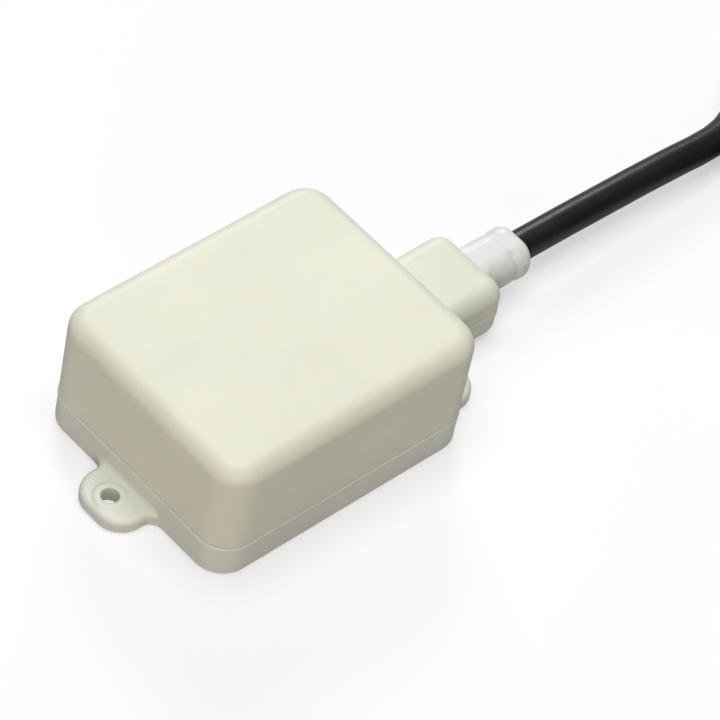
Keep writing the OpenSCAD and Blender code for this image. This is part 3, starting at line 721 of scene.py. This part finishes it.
def inside_looks():
    """Materials of what is inside the housing, by short name."""
    wire = (0.32, 0.42)
    return {
        "steel": metal("zinc_steel", (0.66, 0.67, 0.69), (0.26, 0.4)),
        "tin": metal("can_aluminium", (0.75, 0.76, 0.78), (0.3, 0.42), (1, 1, 10)),
        "ferrite": moulded("ferrite", (0.05, 0.048, 0.046), (0.6, 0.75), 500, 40, 0.15),
        "copper": metal("enamelled_copper", (0.62, 0.25, 0.10), (0.25, 0.35), (1, 1, 40)),
        "board": moulded("solder_mask", (0.02, 0.13, 0.05), (0.25, 0.34), 260, 20, 0.18),
        "chip": moulded("chip_epoxy", (0.018, 0.018, 0.02), (0.5, 0.6), 1400, 10, 0.08),
        "ceramic": moulded("ceramic", (0.62, 0.54, 0.33), (0.45, 0.6), 1200, 10, 0.06),
        "foam": moulded("damping_foam", (0.16, 0.15, 0.145), (0.8, 0.92), 420, 100, 0.15),
        "laminate": moulded("laminate", (0.33, 0.17, 0.07), (0.5, 0.62), 800, 20, 0.12),
        "rubber": moulded("rubber_black", (0.022, 0.022, 0.024), (0.55, 0.7), 600, 30, 0.12),
        "bead": moulded("epoxy_bead", (0.02, 0.09, 0.06), (0.2, 0.3), mottle=0.1),
        "lead": moulded("lead_red", (0.50, 0.05, 0.035), (0.3, 0.4), mottle=0.06),
        "brown": moulded("core_brown", (0.14, 0.05, 0.02), wire, mottle=0.06),
        "white": moulded("core_white", (0.74, 0.74, 0.72), wire, mottle=0.04),
        "blue": moulded("core_blue", (0.03, 0.10, 0.36), wire, mottle=0.06),
        "black": moulded("core_black", (0.015, 0.015, 0.017), wire, mottle=0.1),
    }


TRANSDUCER_LOOKS = {
    "can": "tin", "disc": "ceramic", "pad": "foam", "sleeve": "rubber",
    "terminals": "laminate", "leads": "lead",
}
NODE_LOOKS = {
    "cover_gasket": "rubber", "cover_screws": "steel", "main_board": "board", "board_screws": "steel",
    "microcontroller": "chip", "receiver_amplifier": "chip", "driver_chip": "chip",
    "voltage_regulator": "chip", "transformer_core": "ferrite", "transformer_winding": "copper",
    "supply_capacitor": "tin", "pulse_capacitor": "tin", "crystal": "steel",
    "chip_components": "laminate", "thermistor": "bead", "header_shroud": "nylon",
    "header_pins": "gold", "wire_plug": "nylon", "sheath_tie": "nylon", "coil_tie": "nylon",
    "plug_body": "grip", "plug_insert": "insert", "plug_pins": "gold", "plug_seal": "seal",
    "coupling_nut": "nickel",
}
for side in ("transmitter", "receiver"):
    NODE_LOOKS.update({f"{side}_{part}": look for part, look in TRANSDUCER_LOOKS.items()})
for core in ("brown", "white", "blue", "black"):
    NODE_LOOKS[f"core_{core}"] = core


def dress(piece, made):
    """Gives a piece one material."""
    if piece.data.materials:
        for place in piece.material_slots:
            place.material = made
    else:
        piece.data.materials.append(made)


# ---------------------------------------------------------------- surroundings
def make_floor():
    """Pale floor, out to well past the view, that shows a little brighter than it lights the object."""
    half = 4
    gap = 0.0001
    corners = [(-half, -half, 0), (half, -half, 0), (half, half, 0), (-half, half, 0)]
    floor = solid("floor", corners, [(0, 1, 2, 3)])
    floor.location.z = -gap
    made, shader, nodes, links = material("floor_white")
    shader.inputs["Base Color"].default_value = (0.5, 0.5, 0.5, 1)
    shader.inputs["Roughness"].default_value = 0.9
    shader.inputs["Emission Color"].default_value = (0.97, 0.985, 1, 1)
    glow = nodes.new("ShaderNodeMapRange")
    glow.inputs["To Min"].default_value = 0.03
    glow.inputs["To Max"].default_value = 0.5
    links.new(nodes.new("ShaderNodeLightPath").outputs["Is Camera Ray"], glow.inputs["Value"])
    links.new(glow.outputs["Result"], shader.inputs["Emission Strength"])
    floor.data.materials.append(made)


def lamp(name, place, size, power, colour):
    """Soft square light, aimed at the object, that isn't seen itself."""
    target = Vector((0.02, 0, 0.01))
    data = bpy.data.lights.new(name, "AREA")
    data.size = size
    data.energy = power
    data.color = colour
    light = bpy.data.objects.new(name, data)
    light.location = place
    light.rotation_euler = (Vector(place) - target).to_track_quat("Z", "Y").to_euler()
    light.visible_camera = False
    bpy.context.scene.collection.objects.link(light)


def light_scene():
    """Overhead softbox, a light behind for the cable's sheen and far edges, and a warm fill in front."""
    lamp("overhead", (-0.05, 0, 2.2), size=1.6, power=40, colour=(0.975, 1, 0.995))
    lamp("behind", (0.8, 1, 0.8), size=0.55, power=8, colour=(0.97, 0.98, 1))
    lamp("fill", (-0.93, -0.73, 0.4), size=0.5, power=4.4, colour=(1, 0.86, 0.74))
    world = bpy.data.worlds.new("surround")
    world.use_nodes = True
    background = world.node_tree.nodes["Background"]
    background.inputs["Color"].default_value = (0.95, 0.97, 1, 1)
    background.inputs["Strength"].default_value = 0.02
    bpy.context.scene.world = world
    bpy.context.scene.view_settings.view_transform = "Standard"


# ---------------------------------------------------------------- assembly
aim_camera()
cord, cord_length = make_cord()
looks = {**outside_looks(), **inside_looks()}
cover, tray, relief = make_housing()
for piece, look, slot, node in (
    (cover, "housing", "housing", "top_cover"),
    (tray, "tray", "housing", "base_tray"),
    (relief, "relief", "relief", "strain_relief"),
):
    dress(piece, looks[look])
    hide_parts(node)
    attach(piece, "sensor")

dress(cord, looks["sheath"])
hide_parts("cable", "cable_coil", "cable_tail")
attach(cord, "sensor")

for node, look in NODE_LOOKS.items():
    dress(frame["nodes"][node], looks[look])

make_floor()
light_scene()
